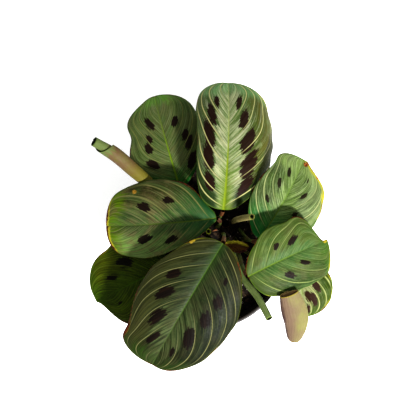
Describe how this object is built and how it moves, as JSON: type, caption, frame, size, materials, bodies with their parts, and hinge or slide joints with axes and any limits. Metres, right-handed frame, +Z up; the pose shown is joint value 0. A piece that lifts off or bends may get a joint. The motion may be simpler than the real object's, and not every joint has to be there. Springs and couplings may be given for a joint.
{
  "type": "potted prayer plant",
  "caption": "Prayer plant with broad spotted leaves, open and rolled, on thin stalks in a round nursery pot of soil.",
  "frame": {"origin": "centre of the flat pad under the pot, on the surface that it stands on", "axes": "+Z up along the pot's axis; +Y towards the long leaf at the top of the overhead picture"},
  "size_m": [0.1746, 0.1997, 0.154],
  "materials": {
    "leaf": "satin",
    "old_leaf": "matte",
    "rolled_leaf": "satin",
    "stalk": "satin",
    "dry_sheath": "matte",
    "pot": "satin",
    "soil": "rough"
  },
  "bodies": {
    "root": {"leaf_top_centre": "leaf", "leaf_top_left": "leaf", "leaf_left": "leaf", "leaf_bottom": "leaf", "leaf_lower_left": "leaf", "leaf_right_low": "leaf", "leaf_upper_right": "leaf", "leaf_far_right": "leaf", "leaf_old_small": "old_leaf", "stalk_top_centre": "stalk", "stalk_top_left": "stalk", "stalk_left": "stalk", "stalk_bottom": "stalk", "stalk_lower_left": "stalk", "stalk_right_low": "stalk", "stalk_upper_right": "stalk", "stalk_far_right": "stalk", "stalk_old_small": "stalk", "stalk_roll_top_left": "stalk", "stalk_half_open": "stalk", "roll_top_left": "rolled_leaf", "roll_half_open": "rolled_leaf", "roll_middle": "rolled_leaf", "roll_pale": "rolled_leaf", "roll_spike": "rolled_leaf", "sheath_middle": "dry_sheath", "bract_dry_left": "dry_sheath", "bract_dry_right": "dry_sheath", "pot": "pot", "soil": "soil"}
  },
  "joints": []
}
